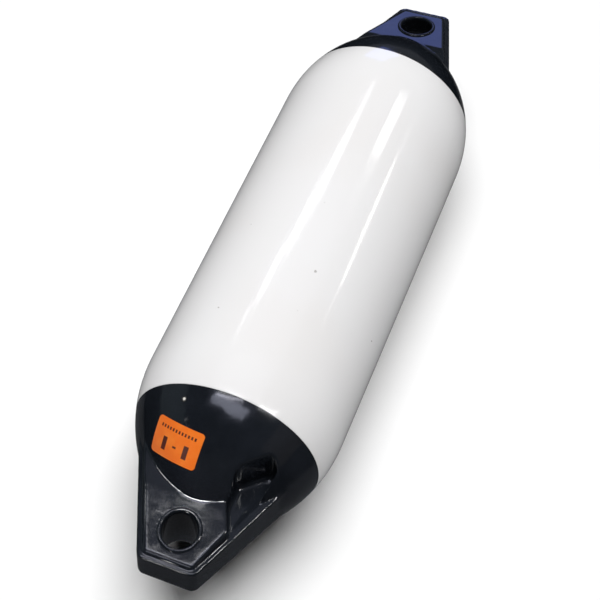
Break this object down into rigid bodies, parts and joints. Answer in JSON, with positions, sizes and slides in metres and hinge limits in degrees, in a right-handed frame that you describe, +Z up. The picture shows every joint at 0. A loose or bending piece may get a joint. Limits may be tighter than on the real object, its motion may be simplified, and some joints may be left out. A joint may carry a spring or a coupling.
{
  "type": "boat fender",
  "caption": "Cylindrical air-filled boat fender with rounded vinyl shoulders, dark moulded end caps and a thick wedge-shaped rope eye at each end.",
  "frame": {"origin": "on the ground below the barrel's middle, at the bottom centre of the bounding box", "axes": "+X along the barrel from the labelled front cap to the rear cap, +Y across the flat rope eyes, +Z up through the front rope hole"},
  "size_m": [0.426, 0.115, 0.115],
  "materials": {
    "white_vinyl": "glossy white vinyl with soft streak highlights",
    "navy_vinyl": "glossy near-black navy vinyl",
    "orange_label": "satin orange adhesive label with plain dark shapes",
    "valve_rubber": "dark rubber"
  },
  "bodies": {
    "root": {"body_shell": "white_vinyl", "front_end_cap": "navy_vinyl", "rear_end_cap": "navy_vinyl", "size_label": "orange_label", "air_valve": "valve_rubber"}
  },
  "joints": []
}
